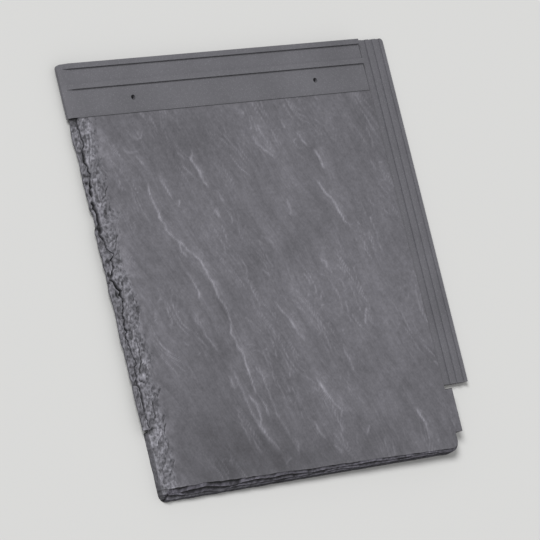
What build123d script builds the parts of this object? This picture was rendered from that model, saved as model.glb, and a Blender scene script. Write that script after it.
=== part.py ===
from build123d import *
import os

# Interlocking slate-pattern roof tile, moulded in one piece from slate grit and resin.
# +X runs right along the course, +Y up the roof and +Z out of the face.
# The origin is the middle of the underside, on the level that the tile rests on.
# All sizes are in millimetres.

# Laying sizes
cover_width = 300.0          # one tile's share of the course, from joint line to joint line
tile_length = 336.0          # butt to head
head_lap = 50.0              # strip that the course above hides

# Thickness
butt_thickness = 11.5        # height of the face at the butt
head_thickness = 8.5         # height of the face at the head
skin_thickness = 6.0         # face skin over the hollow underside

# Side lock: the left lip covers the right flange of the tile before it
lip_overhang = 4.0           # the lip past the left joint line
lip_thickness = 5.0
flange_reach = 22.0          # the flange past the right joint line
lock_clearance = 1.0         # round the flange, in plan
lock_lift = 0.5              # between the lip and the flange below it
groove_count = 4             # water channels along the flange
rail_width = 3.4             # between one channel and the next
groove_depth = 1.0

# Right edge of the face: drain gap, tab and clip slot, from the butt up
face_setback = 7.5           # the face stops this far short of the right joint line
tab_gap = 0.3                # the tab stops this far short of it
drain_height = 15.5
tab_height = 34.5
slot_height = 4.0

# Left edge of the face
foot_setback = 1.5           # the full-height foot behind the left joint line
lip_bevel_width = 10.0
lip_bevel_depth = 2.5
foot_bevel_width = 9.0
foot_bevel_depth = 4.0

# Butt and corners
butt_bevel_width = 7.5       # at the left end
butt_bevel_depth = 8.0       # at the left end
butt_bevel_right_width = 2.5
foot_corner_radius = 6.0
head_corner_radius = 3.0

# Head lap
pattern_run_on = 8.0         # the riven face runs on under the butt of the next course
head_recess = 1.5
weather_bar_width = 4.0
weather_bar_spacing = 16.0   # from one bar's middle to the next

# Nails
nail_hole_radius = 2.0
nail_boss_radius = 6.0
nail_spacing = 180.0
nail_from_head = 30.0

# Ribs under the face
wall_thickness = 6.0
rib_thickness = 3.5
pocket_columns = 5
pocket_rows = 6

# Places along X
overall_width = lip_overhang + cover_width + flange_reach
lip_left = -overall_width / 2
left_joint = lip_left + lip_overhang
right_joint = left_joint + cover_width
flange_right = right_joint + flange_reach
foot_left = left_joint + foot_setback
face_right = right_joint - face_setback
tab_right = right_joint - tab_gap
lip_inner = left_joint + flange_reach + lock_clearance
face_middle = (left_joint + right_joint) / 2

# Places along Y
butt_y = -tile_length / 2
head_y = tile_length / 2
lap_y = head_y - head_lap
tab_low_y = butt_y + drain_height
tab_high_y = tab_low_y + tab_height
flange_low_y = tab_high_y + slot_height
lock_low_y = flange_low_y - lock_clearance
nail_y = head_y - nail_from_head

# The sloping face
fall = (butt_thickness - head_thickness) / tile_length
face_plane = Plane(origin=(0, 0, butt_thickness - fall * tile_length / 2), x_dir=(1, 0, 0), z_dir=(0, fall, 1))
flange_drop = lip_thickness + lock_lift
down = Vector(0, 0, -1)


def face_height(y):
    """Height of the face above the underside."""
    return butt_thickness - fall * (y - butt_y)


def cut_beside_face(x_low, x_high, y_low, y_high, drop, far_height):
    """Cut between a level height and a slope that runs with the face, drop below it."""
    with BuildSketch(Plane.YZ.offset(x_low)) as waste:
        with BuildLine():
            Polyline(
                (y_low, face_height(y_low) - drop),
                (y_high, face_height(y_high) - drop),
                (y_high, far_height),
                (y_low, far_height),
                close=True,
            )
        make_face()
    extrude(waste.sketch, amount=x_high - x_low, mode=Mode.SUBTRACT)


def bevel(section_plane, width, depth, run):
    """Cut a slope along an edge, from a section whose origin is where the face would meet that edge."""
    with BuildSketch(section_plane) as waste:
        with BuildLine():
            Polyline(
                (0, -depth),
                (width, -fall * width * section_plane.x_dir.Y),
                (width, butt_thickness),
                (0, butt_thickness),
                close=True,
            )
        make_face()
    extrude(waste.sketch, amount=run.length, dir=run, mode=Mode.SUBTRACT)


def left_bevel(x_edge, width, depth, y_high):
    """Bevel a left edge from y_high down to the butt."""
    upper_end = Plane(origin=(x_edge, y_high, face_height(y_high)), x_dir=(1, 0, 0), z_dir=(0, -1, 0))
    bevel(upper_end, width, depth, (y_high - butt_y) * Vector(0, -1, fall))


with BuildPart() as slate_tile:
    # Plan outline, anticlockwise from the left end of the butt
    with BuildSketch() as outline:
        with BuildLine():
            Polyline(
                (foot_left, butt_y),
                (face_right, butt_y),
                (face_right, tab_low_y),
                (tab_right, tab_low_y),
                (tab_right, tab_high_y),
                (face_right, tab_high_y),
                (face_right, flange_low_y),
                (flange_right, flange_low_y),
                (flange_right, head_y),
                (lip_left, head_y),
                (lip_left, flange_low_y),
                (foot_left, flange_low_y),
                close=True,
            )
        make_face()
        fillet(outline.vertices().group_by(Axis.Y)[0], radius=foot_corner_radius)
        fillet(outline.vertices().group_by(Axis.Y)[-1], radius=head_corner_radius)
    extrude(amount=butt_thickness)

    # The wedge: the face falls evenly from the butt to the head
    with BuildSketch(Plane.YZ):
        with BuildLine():
            Polyline(
                (butt_y, 0),
                (head_y, 0),
                (head_y, head_thickness),
                (butt_y, butt_thickness),
                close=True,
            )
        make_face()
    extrude(amount=overall_width, both=True, mode=Mode.INTERSECT)

    # Flange of the side lock, with its water channels
    cut_beside_face(face_right, flange_right, flange_low_y, head_y, flange_drop, butt_thickness)
    groove_pitch = (flange_right - face_right) / groove_count
    for groove in range(groove_count):
        groove_left = face_right + groove * groove_pitch
        groove_right = groove_left + groove_pitch - rail_width
        groove_drop = flange_drop + groove_depth
        cut_beside_face(groove_left, groove_right, flange_low_y, head_y, groove_drop, butt_thickness)

    # Space under the lip for the flange of the tile before it
    cut_beside_face(lip_left, lip_inner, lock_low_y, head_y, lip_thickness, 0)

    # Dressed edges: the lip, the foot and the butt, whose bevel narrows to the right
    left_bevel(lip_left, lip_bevel_width, lip_bevel_depth, head_y)
    left_bevel(foot_left, foot_bevel_width, foot_bevel_depth, flange_low_y)
    butt_section = Plane(origin=(foot_left, butt_y, butt_thickness), x_dir=(0, 1, 0), z_dir=(1, 0, 0))
    butt_narrowing = butt_bevel_right_width - butt_bevel_width
    butt_run = Vector(tab_right - foot_left, butt_narrowing, -fall * butt_narrowing)
    bevel(butt_section, butt_bevel_width, butt_bevel_depth, butt_run)

    # Head lap: the face is lowered between the weather bars
    upper_bar_y = head_y - weather_bar_width / 2
    lower_bar_y = upper_bar_y - weather_bar_spacing
    half_bar = weather_bar_width / 2
    cut_beside_face(
        lip_left, face_right, lap_y + pattern_run_on, lower_bar_y - half_bar, head_recess, butt_thickness
    )
    cut_beside_face(
        lip_left, face_right, lower_bar_y + half_bar, upper_bar_y - half_bar, head_recess, butt_thickness
    )

    # Hollow underside, with ribs between its pockets
    field_left = lip_inner + wall_thickness
    field_low = butt_y + butt_bevel_width + wall_thickness
    field_width = face_right - wall_thickness - field_left
    field_length = head_y - wall_thickness - field_low
    pocket_width = (field_width + rib_thickness) / pocket_columns - rib_thickness
    pocket_length = (field_length + rib_thickness) / pocket_rows - rib_thickness
    foot_pocket_left = foot_left + wall_thickness
    foot_pocket_high = lock_low_y - wall_thickness
    with BuildSketch(face_plane.offset(-skin_thickness)):
        with Locations((field_left + field_width / 2, field_low + field_length / 2)):
            with GridLocations(
                pocket_width + rib_thickness, pocket_length + rib_thickness, pocket_columns, pocket_rows
            ):
                Rectangle(pocket_width, pocket_length)
        with Locations(((foot_pocket_left + lip_inner) / 2, (field_low + foot_pocket_high) / 2)):
            Rectangle(lip_inner - foot_pocket_left, foot_pocket_high - field_low)
        with Locations((face_middle, nail_y)):
            with GridLocations(nail_spacing, nail_spacing, 2, 1):
                Circle(nail_boss_radius, mode=Mode.SUBTRACT)
    extrude(amount=butt_thickness, dir=down, mode=Mode.SUBTRACT)

    # Nail holes through the head lap
    with BuildSketch():
        with Locations((face_middle, nail_y)):
            with GridLocations(nail_spacing, nail_spacing, 2, 1):
                Circle(nail_hole_radius)
    extrude(amount=butt_thickness, mode=Mode.SUBTRACT)

slate_tile.part.label = "slate_tile"

os.makedirs("parts", exist_ok=True)
export_step(slate_tile.part, "parts/slate_tile.step")
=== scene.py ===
# %% [markdown]
# A moulded slate roof tile.
#
# The real tile is one pressed piece of slate grit and resin. Its back, its flange and its
# head are plain and exact, as the steel mould left them. Its face copies a split slate:
# thin layers, a crushed left edge and a butt that shows the layers end on. So the model is
# made the same way. The exact solid comes from the frame and is never changed. A second
# solid carries only the riven surface, and the visible tile is what the two have in common.
# That keeps every hole, groove and rib where the exact solid has it.

# %% Load the exact solid
import math

import bmesh
import bpy
import numpy as np
from mathutils import Matrix, Vector


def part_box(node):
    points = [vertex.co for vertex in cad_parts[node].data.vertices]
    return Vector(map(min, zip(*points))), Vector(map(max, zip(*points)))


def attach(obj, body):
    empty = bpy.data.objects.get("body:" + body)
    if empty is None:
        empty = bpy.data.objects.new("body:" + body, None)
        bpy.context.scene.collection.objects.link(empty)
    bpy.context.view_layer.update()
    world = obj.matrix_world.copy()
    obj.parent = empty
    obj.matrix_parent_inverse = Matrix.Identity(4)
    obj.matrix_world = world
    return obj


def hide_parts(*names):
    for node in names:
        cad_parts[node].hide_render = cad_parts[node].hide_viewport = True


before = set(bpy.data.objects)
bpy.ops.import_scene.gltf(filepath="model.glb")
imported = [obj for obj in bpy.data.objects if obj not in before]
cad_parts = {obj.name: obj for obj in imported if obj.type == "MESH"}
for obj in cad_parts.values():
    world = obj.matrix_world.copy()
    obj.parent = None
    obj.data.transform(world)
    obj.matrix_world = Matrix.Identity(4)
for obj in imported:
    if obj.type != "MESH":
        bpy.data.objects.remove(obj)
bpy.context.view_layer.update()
tile_low, tile_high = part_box("slate_tile")
print("exact solid, from", tuple(tile_low), "to", tuple(tile_high))

# %% [markdown]
# Blender counts in metres and the tile's sizes are a few millimetres, so the script works
# in millimetres and multiplies by MM where it hands a size to Blender. The outer sizes are
# read from the frame. The others repeat the tile's own drawing, because the riven surface
# has to know where the drawing's edges are.

# %% Sizes of the tile
MM = 0.001
lip_left = tile_low.x / MM
butt_y = tile_low.y / MM
head_y = tile_high.y / MM

butt_thickness = 11.5
head_thickness = 8.5
lip_overhang = 4.0
foot_setback = 1.5
cover_width = 300.0
face_setback = 7.5
tab_gap = 0.3
drain_height = 15.5
tab_height = 34.5
slot_height = 4.0
head_lap = 50.0
pattern_run_on = 8.0
butt_bevel_width = 7.5
butt_bevel_depth = 8.0
butt_bevel_right_width = 2.5
lip_bevel_width = 10.0
lip_bevel_depth = 2.5
foot_bevel_width = 9.0
foot_bevel_depth = 4.0
corner_radius = 6.0

left_joint = lip_left + lip_overhang
foot_left = left_joint + foot_setback
face_right = left_joint + cover_width - face_setback
tab_right = left_joint + cover_width - tab_gap
tab_low_y = butt_y + drain_height
tab_high_y = tab_low_y + tab_height
notch_y = tab_high_y + slot_height
pattern_high_y = head_y - head_lap + pattern_run_on
fall = (butt_thickness - head_thickness) / (head_y - butt_y)


def face_height(y):
    """Height of the flat face above the floor, in millimetres."""
    return butt_thickness - fall * (y - butt_y)


print("face", round(face_right - left_joint, 1), "mm wide, falls", round(fall * 100, 2), "per cent")

# %% [markdown]
# The camera stands where the photograph was taken from: to the left of the tile and above
# it, with the butt at the bottom of the picture. The direction was worked out from the
# photograph's perspective. A long lens keeps that distance and lets one tile fill the
# picture. The loop below looks through the camera at the tile's corners and turns it until
# they sit in the middle of the frame. Then the lens is set to what they span.

# %% Camera
photo_direction = Vector((-0.6316, -0.1233, 0.7654))
photo_up = Vector((0.0844, 0.9613, 0.2624))
photo_distance = 3.257
exposed_middle = Vector((-0.009, -0.025, 0.0))
frame_share = 0.87
sensor_width = 36.0
nearest_seen = 0.1
farthest_seen = 100.0
aim_rounds = 6


def new_object(name, data):
    """Put a mesh, a lamp or a camera into the scene."""
    made = bpy.data.objects.new(name, data)
    bpy.context.scene.collection.objects.link(made)
    return made


def aim(camera, target):
    """Turn the camera to a point, with the photograph's way up."""
    forward = (target - camera.location).normalized()
    right = forward.cross(photo_up).normalized()
    turned = Matrix((right, right.cross(forward), -forward)).transposed()
    camera.rotation_mode = "QUATERNION"
    camera.rotation_quaternion = turned.to_quaternion()


def seen_box(camera):
    """Lowest and highest tangents of the tile's corners, across and up the picture."""
    to_camera = Matrix.LocRotScale(camera.location, camera.rotation_quaternion, None).inverted()
    low = tile_low
    high = tile_high
    corners = [Vector((x, y, z)) for x in (low.x, high.x) for y in (low.y, high.y) for z in (low.z, high.z)]
    seen = [to_camera @ corner for corner in corners]
    across = [point.x / -point.z for point in seen]
    upward = [point.y / -point.z for point in seen]
    return min(across), max(across), min(upward), max(upward)


camera_data = bpy.data.cameras.new("tile_camera")
camera = new_object("tile_camera", camera_data)
bpy.context.scene.camera = camera
camera.location = exposed_middle + photo_distance * photo_direction.normalized()
target = (tile_low + tile_high) / 2
for step in range(aim_rounds):
    aim(camera, target)
    left, right, bottom, top = seen_box(camera)
    reach = (target - camera.location).length
    turned = camera.rotation_quaternion
    target = target + turned @ Vector(((left + right) / 2, (bottom + top) / 2, 0)) * reach
aim(camera, target)
left, right, bottom, top = seen_box(camera)
camera_data.sensor_width = sensor_width
camera_data.lens = sensor_width * frame_share / max(right - left, top - bottom)
camera_data.clip_start = nearest_seen
camera_data.clip_end = farthest_seen
print("lens", round(camera_data.lens, 1), "mm")
print("tile spans", round(right - left, 3), "by", round(top - bottom, 3))

# %% [markdown]
# Light and finishes are both small graphs of nodes. These helpers add a node, feed its
# inputs and do sums, so that the graphs below read almost like formulas. An input is fed
# with another node's output or with a plain number or colour. A Mix node has a pair of
# inputs for each kind of value, so the places of its colour sockets are named here.

# %% Node helpers
mix_share = 0
mix_first = 6
mix_second = 7
mix_result = 2


def add(tree, kind, **settings):
    """Add a shader node and set its own properties."""
    node = tree.nodes.new("ShaderNode" + kind)
    for name, value in settings.items():
        setattr(node, name, value)
    return node


def feed(tree, value, socket):
    """Feed an input with a node's output, or with a plain number or colour."""
    if isinstance(value, bpy.types.NodeSocket):
        tree.links.new(value, socket)
    else:
        socket.default_value = value


def maths(tree, operation, first, second, clamp=False):
    """A sum of two values."""
    node = add(tree, "Math", operation=operation, use_clamp=clamp)
    feed(tree, first, node.inputs[0])
    feed(tree, second, node.inputs[1])
    return node.outputs[0]


def mixed(tree, share, first, second):
    """A mix of two colours."""
    node = add(tree, "Mix", data_type="RGBA")
    feed(tree, share, node.inputs[mix_share])
    feed(tree, first, node.inputs[mix_first])
    feed(tree, second, node.inputs[mix_second])
    return node.outputs[mix_result]


def new_material(name):
    """A new material, with its node tree and its shader."""
    material = bpy.data.materials.new(name)
    material.use_nodes = True
    tree = material.node_tree
    return material, tree, tree.nodes["Principled BSDF"]


print("colours of a Mix node are its inputs", mix_first, "and", mix_second)

# %% [markdown]
# Stone takes its look from small changes of light, so the light is soft and one-sided. The
# key light is a sun with a wide disc, high to the upper left of the picture. A sun lights
# the whole floor evenly, where a lamp would leave a bright patch. A pale sky fills the
# shadows. The two together light a level surface to the strength of one, at which a colour
# renders about as it is written. The camera sees the sky in the colour of the floor.

# %% Sun and sky
sky_strength = 0.42
key_strength = 0.58
key_direction = Vector((-0.56, 0.42, 0.71)).normalized()
key_disc = math.radians(24)
white = (1.0, 1.0, 1.0, 1.0)
backdrop_colour = (0.70, 0.70, 0.69, 1.0)

key_data = bpy.data.lights.new("soft_key", "SUN")
key_data.angle = key_disc
key_data.energy = key_strength * math.pi / key_direction.z
key = new_object("soft_key", key_data)
key.rotation_mode = "QUATERNION"
key.rotation_quaternion = key_direction.to_track_quat("Z", "Y")


def seen_rays(tree):
    """One for rays from the camera, from gloss and through glass, and zero for the rest."""
    path = add(tree, "LightPath").outputs
    either = maths(tree, "MAXIMUM", path["Is Camera Ray"], path["Is Glossy Ray"])
    return maths(tree, "MAXIMUM", either, path["Is Transmission Ray"])


world = bpy.data.worlds.new("studio")
bpy.context.scene.world = world
world.use_nodes = True
sky_tree = world.node_tree
sky = sky_tree.nodes["Background"]
sky.inputs["Color"].default_value = white
sky.inputs["Strength"].default_value = sky_strength
backdrop = add(sky_tree, "Background")
backdrop.inputs["Color"].default_value = backdrop_colour
either_sky = add(sky_tree, "MixShader")
feed(sky_tree, seen_rays(sky_tree), either_sky.inputs[0])
feed(sky_tree, sky.outputs[0], either_sky.inputs[1])
feed(sky_tree, backdrop.outputs[0], either_sky.inputs[2])
feed(sky_tree, either_sky.outputs[0], sky_tree.nodes["World Output"].inputs["Surface"])
print("sun", round(key_data.energy, 2), "sky", sky_strength)

# %% [markdown]
# The tile lies on a plain pale floor. Only the floor's own colour makes it pale, so the
# shadow of the tile stays on it. A pale floor would also throw much light back up at the
# butt and wash out the lines between its layers. So the floor is pale to the camera and
# darker to the light that bounces off it.

# %% Floor
floor_size = 120.0
bounce_colour = (0.30, 0.30, 0.30, 1.0)

half = floor_size / 2
floor_corners = [(-half, -half, 0), (half, -half, 0), (half, half, 0), (-half, half, 0)]
floor_mesh = bpy.data.meshes.new("floor")
floor_mesh.from_pydata(floor_corners, [], [(0, 1, 2, 3)])
floor = new_object("floor", floor_mesh)
floor_material, floor_tree, floor_shader = new_material("pale_floor")
floor_shader.inputs["Roughness"].default_value = 1.0
floor_shader.inputs["Specular IOR Level"].default_value = 0.0
floor_colour = mixed(floor_tree, seen_rays(floor_tree), bounce_colour, backdrop_colour)
feed(floor_tree, floor_colour, floor_shader.inputs["Base Color"])
floor_mesh.materials.append(floor_material)
print("floor", floor_size, "m")

# %% [markdown]
# Split stone is irregular at every size, from slow swells to sharp chips. Two kinds of
# seeded noise make all of it. The first, ripple noise, is smooth: each corner of a square
# lattice gets a random slope, and the slopes are blended. Both kinds take whole arrays of
# points, which is far quicker than a loop. Sizes and lengths are in millimetres. Each use
# has its own seed, a whole number, so that every run makes the same stone.

# %% Ripples
lattice = 128
ripple_gain = 1.6


def fade(t):
    """From 0 to 1 with level ends."""
    t = np.clip(t, 0.0, 1.0)
    return t * t * (3.0 - 2.0 * t)


def ripple(x, y, seed):
    """Smooth waves about one unit long, from about -1 to 1."""
    lean = np.random.default_rng(seed).uniform(0, 2 * math.pi, (lattice, lattice))
    cell_x = np.floor(x).astype(int)
    cell_y = np.floor(y).astype(int)
    total = 0.0
    for step_x in (0, 1):
        for step_y in (0, 1):
            angle = lean[(cell_x + step_x) % lattice, (cell_y + step_y) % lattice]
            away_x = x - cell_x - step_x
            away_y = y - cell_y - step_y
            slope = np.cos(angle) * away_x + np.sin(angle) * away_y
            total = total + slope * fade(1 - abs(away_x)) * fade(1 - abs(away_y))
    return ripple_gain * total


def rough(x, y, size, seed, octaves):
    """Ripples of a size along X and along Y, with finer and weaker ripples on them."""
    x = x / size[0]
    y = y / size[1]
    return sum(ripple(x * 2**k, y * 2**k, seed + k) * 0.5**k for k in range(octaves))


def waves(mean, place, table, row=0):
    """A wavy line about a mean. The table gives each ripple's strength, length and seed."""
    ripples = (strength * ripple(place / length, 0 * place + row, seed) for strength, length, seed in table)
    return sum(ripples, mean)


def patches(x, y, size, seed, share=0.5, sharpness=1.1, octaves=2):
    """Soft patches, from 0 to 1, that cover about a share of the surface."""
    return fade(share + sharpness * rough(x, y, size, seed, octaves))


print("ripples on a lattice of", lattice)

# %% [markdown]
# The second, chip noise, is broken: each cell of the lattice gets its own slanted flat, and
# a point takes the flat of the nearest cell, so neighbours meet in sharp steps.

# %% Chips
chip_scatter = 0.42
chip_level = 0.45
chip_lean = 0.9


def chips(x, y, seed):
    """Slanted flats about one unit across, from about -1 to 1, and the distance to the nearest break."""
    draw = np.random.default_rng(seed).uniform(-1, 1, (5, lattice, lattice))
    shift_x, shift_y, lean_x, lean_y, level = draw
    cell_x = np.floor(x).astype(int)
    cell_y = np.floor(y).astype(int)
    nearest = np.full(x.shape, np.inf)
    second = np.full(x.shape, np.inf)
    flat = np.zeros(x.shape)
    for step_x in (-1, 0, 1):
        for step_y in (-1, 0, 1):
            cell = (cell_x + step_x) % lattice, (cell_y + step_y) % lattice
            away_x = x - cell_x - step_x - 0.5 - chip_scatter * shift_x[cell]
            away_y = y - cell_y - step_y - 0.5 - chip_scatter * shift_y[cell]
            apart = np.hypot(away_x, away_y)
            own = chip_level * level[cell] + chip_lean * (lean_x[cell] * away_x + lean_y[cell] * away_y)
            flat = np.where(apart < nearest, own, flat)
            second = np.minimum(second, np.maximum(apart, nearest))
            nearest = np.minimum(nearest, apart)
    return flat, second - nearest


print("chips scattered by", chip_scatter, "of a cell")

# %% [markdown]
# The riven surface is one sheet of squares laid over the tile like a cloth. Its columns and
# rows aren't straight: near the left edge the columns follow the broken outline and the
# long crevice behind it, and at the butt the rows follow the ends of the split layers. A
# step in the stone then falls exactly between two rows, and stays crisp with few squares.
#
# First come the lines that the columns follow. Below the notch the left edge is the foot,
# which is nearly straight. Above it is the lip, which is ragged, with one bay broken out.
# In a table of waves, each row is a strength and a length in millimetres, and a seed.

# %% Outline of the left edge
notch_inset = 0.6
lip_wear = 0.9
lip_waves = ((0.8, 17, 11), (0.7, 5, 12))
least_wear = 0.15
most_wear = 2.4
foot_wear = 0.35
foot_waves = ((0.12, 6, 13),)
bay_height = 216.0
bay_half_length = 8.0
bay_depth = 2.0
bay_steepness = 1.6

lip_start_y = notch_y + notch_inset
bay_y = butt_y + bay_height


def on_lip(y):
    return y > lip_start_y


def outer_edge(y):
    """The broken outline, as a place along X."""
    worn = np.clip(waves(lip_wear, y, lip_waves), least_wear, most_wear)
    bay = bay_depth * fade(bay_steepness - bay_steepness * abs(y - bay_y) / bay_half_length)
    lip = lip_left + worn + bay
    foot = waves(foot_left + foot_wear, y, foot_waves)
    return np.where(on_lip(y), lip, foot)


sample_count = 400
heights = np.linspace(lip_start_y + 1, pattern_high_y, sample_count)
wear = outer_edge(heights) - lip_left
print("lip worn back", round(float(wear.min()), 1), "to", round(float(wear.max()), 1), "mm")

# %% [markdown]
# Behind the outer ledge of the lip runs a long dark crevice, and behind that a band of
# crushed stone slopes up to the face. The crevice's course was read from the photograph,
# in millimetres: the height above the butt, the place from the left joint line, and the
# width of the gap. Finer zigzags are added to it. The inner end of the band only waves.

# %% The crevice and the crushed band
crevice_line = (
    (56, 2.2, 1.2),
    (71, 1.4, 1.6),
    (82, 2.2, 1.8),
    (92, 1.0, 1.8),
    (104, 3.2, 0.8),
    (124, 1.6, 1.4),
    (135, 2.2, 1.9),
    (143, 3.0, 1.0),
    (152, 6.0, 1.6),
    (160, 5.0, 3.2),
    (169, 0.8, 2.9),
    (177, 2.8, 1.8),
    (188, 7.5, 1.2),
    (192, 2.5, 1.0),
    (203, 0.4, 2.0),
    (208, 0.4, 4.2),
    (226, 0.2, 4.2),
    (231, 0.2, 1.8),
    (239, 0.6, 2.4),
    (250, 3.5, 1.1),
    (262, 1.6, 2.2),
    (274, 4.0, 1.2),
    (290, 3.0, 1.2),
)
crevice_height, crevice_place, crevice_gap = np.array(crevice_line).T
zigzag_waves = ((1.4, 6.5, 15), (1.3, 3.1, 16))
least_crevice_inset = 2.4
most_crevice_inset = 13.5
foot_crevice_inset = 3.6
foot_crevice_waves = ((0.9, 8, 17),)
least_gap = 0.5
gap_waves = ((0.45, 4, 46), (0.3, 1.9, 47))
crushed_width = 22.0
crushed_waves = ((6.0, 37, 18), (4.0, 11, 19))
foot_narrowing = 6.5
least_crushed_width = 5.0


def crevice_inset(y):
    """The long crevice, as a distance in from the outer edge."""
    wander = left_joint + np.interp(y - butt_y, crevice_height, crevice_place) - outer_edge(y)
    inset = np.clip(wander + waves(0, y, zigzag_waves), least_crevice_inset, most_crevice_inset)
    return np.where(on_lip(y), inset, waves(foot_crevice_inset, y, foot_crevice_waves))


def crevice_width(y):
    """Width of the gap, in millimetres."""
    return np.maximum(np.interp(y - butt_y, crevice_height, crevice_gap) * waves(1, y, gap_waves), least_gap)


def crushed_inset(y):
    """The inner end of the crushed stone, as a distance in from the outer edge."""
    reach = waves(crushed_width, y, crushed_waves)
    reach = np.where(on_lip(y), reach, reach - foot_narrowing)
    return np.maximum(reach, crevice_inset(y) + least_crushed_width)


insets = crevice_inset(heights)
print("crevice", round(float(insets.min()), 1), "to", round(float(insets.max()), 1), "mm in")

# %% [markdown]
# The butt was dressed from the back, so each layer ends a little further back than the one
# under it. Seven lines say where the layers end. The upper ones wander in long waves: where
# two of them meet, the layer between pinches out to a lens, as in real slate. Each ledge is
# as deep as the exact solid's bevel needs, so the sheet never rises out of the solid. The
# waves of two layers are read from different rows of the noise, so that they differ.

# %% Layers of the butt
layer_count = 7
bevel_slope = butt_bevel_depth / butt_bevel_width
butt_wear = 0.3
butt_waves = ((0.2, 11, 21), (0.12, 3, 22))
steepest_share = 0.97
least_ledge = 0.15
wall_ends = (0.95, 0.5, 0.18, 0.0)
wall_waves = ((0.1, 6, 24),)
wall_row = 5
upper_ends = ((0.36, 0.17, 23), (0.72, 0.17, 27), (1.16, 0.08, 33))
upper_sway = 1.4
upper_row = 7
gape_share = 0.3
gape_waves = ((1.2, 17, 31), (0.4, 5, 32))
gape_row = 9
least_bite = 0.15
open_bite = 0.8
wall_shares = (0.28, 0.58, 0.84)
foot_rise = 0.3
skirt_depth = 16.0


def bevel_width(x):
    """Width of the butt's bevel, which narrows to the right."""
    share = (x - foot_left) / (tab_right - foot_left)
    return butt_bevel_width + (butt_bevel_right_width - butt_bevel_width) * share


def butt_line(x):
    """The foot of the butt, as a place along Y, with the rounded corner at its right end."""
    corner = np.clip((x - face_right + corner_radius) / corner_radius, 0.0, steepest_share)
    rise = corner_radius * (1 - np.sqrt(1 - corner**2))
    return waves(butt_y + butt_wear, x, butt_waves) + rise


def layer_ends(x):
    """Where each layer ends, in from the butt line, from the top layer down."""
    width = bevel_width(x)
    ends = [waves(end, x, wall_waves, wall_row * k) for k, end in enumerate(wall_ends)]
    for k, (share, sway, length) in enumerate(upper_ends):
        wave = upper_sway * sway * ripple(x / length, 0 * x + upper_row * k, 25)
        ragged = waves(0, x, ((0.05, 9, 26 + k), (0.025, 3, 29 + k)))
        ends.insert(0, np.maximum(width * (share + wave + ragged), ends[0] + least_ledge))
    return ends


def gap_open(x, layer):
    """How far the layers gape under one layer of the butt, from 0 to 1."""
    return fade(waves(gape_share, x, gape_waves, gape_row * layer))


def layer_depths(x, ends):
    """Depth of the ledge outside each layer's end, below the face."""
    width = bevel_width(x)
    depths = []
    for k in range(len(upper_ends)):
        bite = least_bite + open_bite * gap_open(x, k)
        depths.append((width - ends[k + 1]) * bevel_slope + bite)
    lowest = depths[-1]
    for share in wall_shares:
        depths.append(lowest + share * (butt_thickness - foot_rise - lowest))
    depths.append(np.full(x.shape, skirt_depth))
    return depths


top_ends = layer_ends(np.linspace(foot_left, face_right, sample_count))[0]
print("top layer ends", round(float(top_ends.min()), 1), "to", round(float(top_ends.max()), 1), "mm in")

# %% [markdown]
# In the side wall below the edge the layers show as low steps, each set in a little from
# the one above it, with a line of painted shade along each. The crevice isn't open all the
# way: in places, splinters of stone bridge it. Only where it is open is its floor painted
# dark, as painted shade in a deep gap.

# %% Side wall and crevice
side_steps = ((0.86, 3), (0.82, 2), (0.60, 2), (0.56, 1), (0.32, 1), (0.28, 0))
side_inset = 0.22
side_length = 13
side_row = 5
bridge_waves = ((1.5, 5.5, 48),)
bridge_share = 0.8
open_gain = 0.6
open_loss = 0.3
least_open = 0.06


def side_layer(layer, y):
    """Edge of one layer in the left wall, a little in from the outline."""
    wander = side_inset * layer * (1 + ripple(y / side_length, 0 * y + side_row * layer, 41)) / 2
    return waves(wander, y, ((0.1, 3, 42 + layer),))


def crevice_open(y):
    """How open the crevice is, from 0 to 1."""
    bridged = fade(waves(bridge_share, y, bridge_waves))
    return np.clip(open_gain * crevice_width(y) - open_loss, least_open, 1) * bridged * on_lip(y)


print("crevice open on", round(float((crevice_open(heights) > 0.5).mean() * 100)), "per cent of its length")

# %% [markdown]
# The columns start on the side wall. They climb over the edge, cross the outer ledge, dip
# into the crevice and run up the crushed stone to the flat face. Each is an X for every
# height Y, with the depth below the face that the edge gives it there, and a mask of painted
# shade that is one where shade falls between layers.

# %% Columns of the sheet
lip_edge_depth = 2.9
lip_ledge_depth = 2.4
lip_wall_depth = 5.3
foot_edge_depth = 4.0
foot_ledge_depth = 2.5
crevice_depth = 2.0
crevice_floor = 0.5
least_outer_ledge = 0.9
rim_split = 0.25
lip_crushed_start = 1.5
foot_crushed_start = 2.3
crushed_curve = 1.35
fray_slope = 0.05
side_split = 0.12
outer_count = 10
crushed_count = 30
face_count = 222
right_steps = (-1.2, -0.6, -0.25, 0.0, 1.5, 3.0, 4.5, 6.0, 6.6, 7.0, 7.2, 8.5, 31.5)
head_limit = 0.3
clear_margin = 2.0
clear_shift = 5.0


def shares(count):
    """Even shares of a way, from the first one after 0 up to 1."""
    return np.linspace(0, 1, count + 1)[1:]


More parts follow.
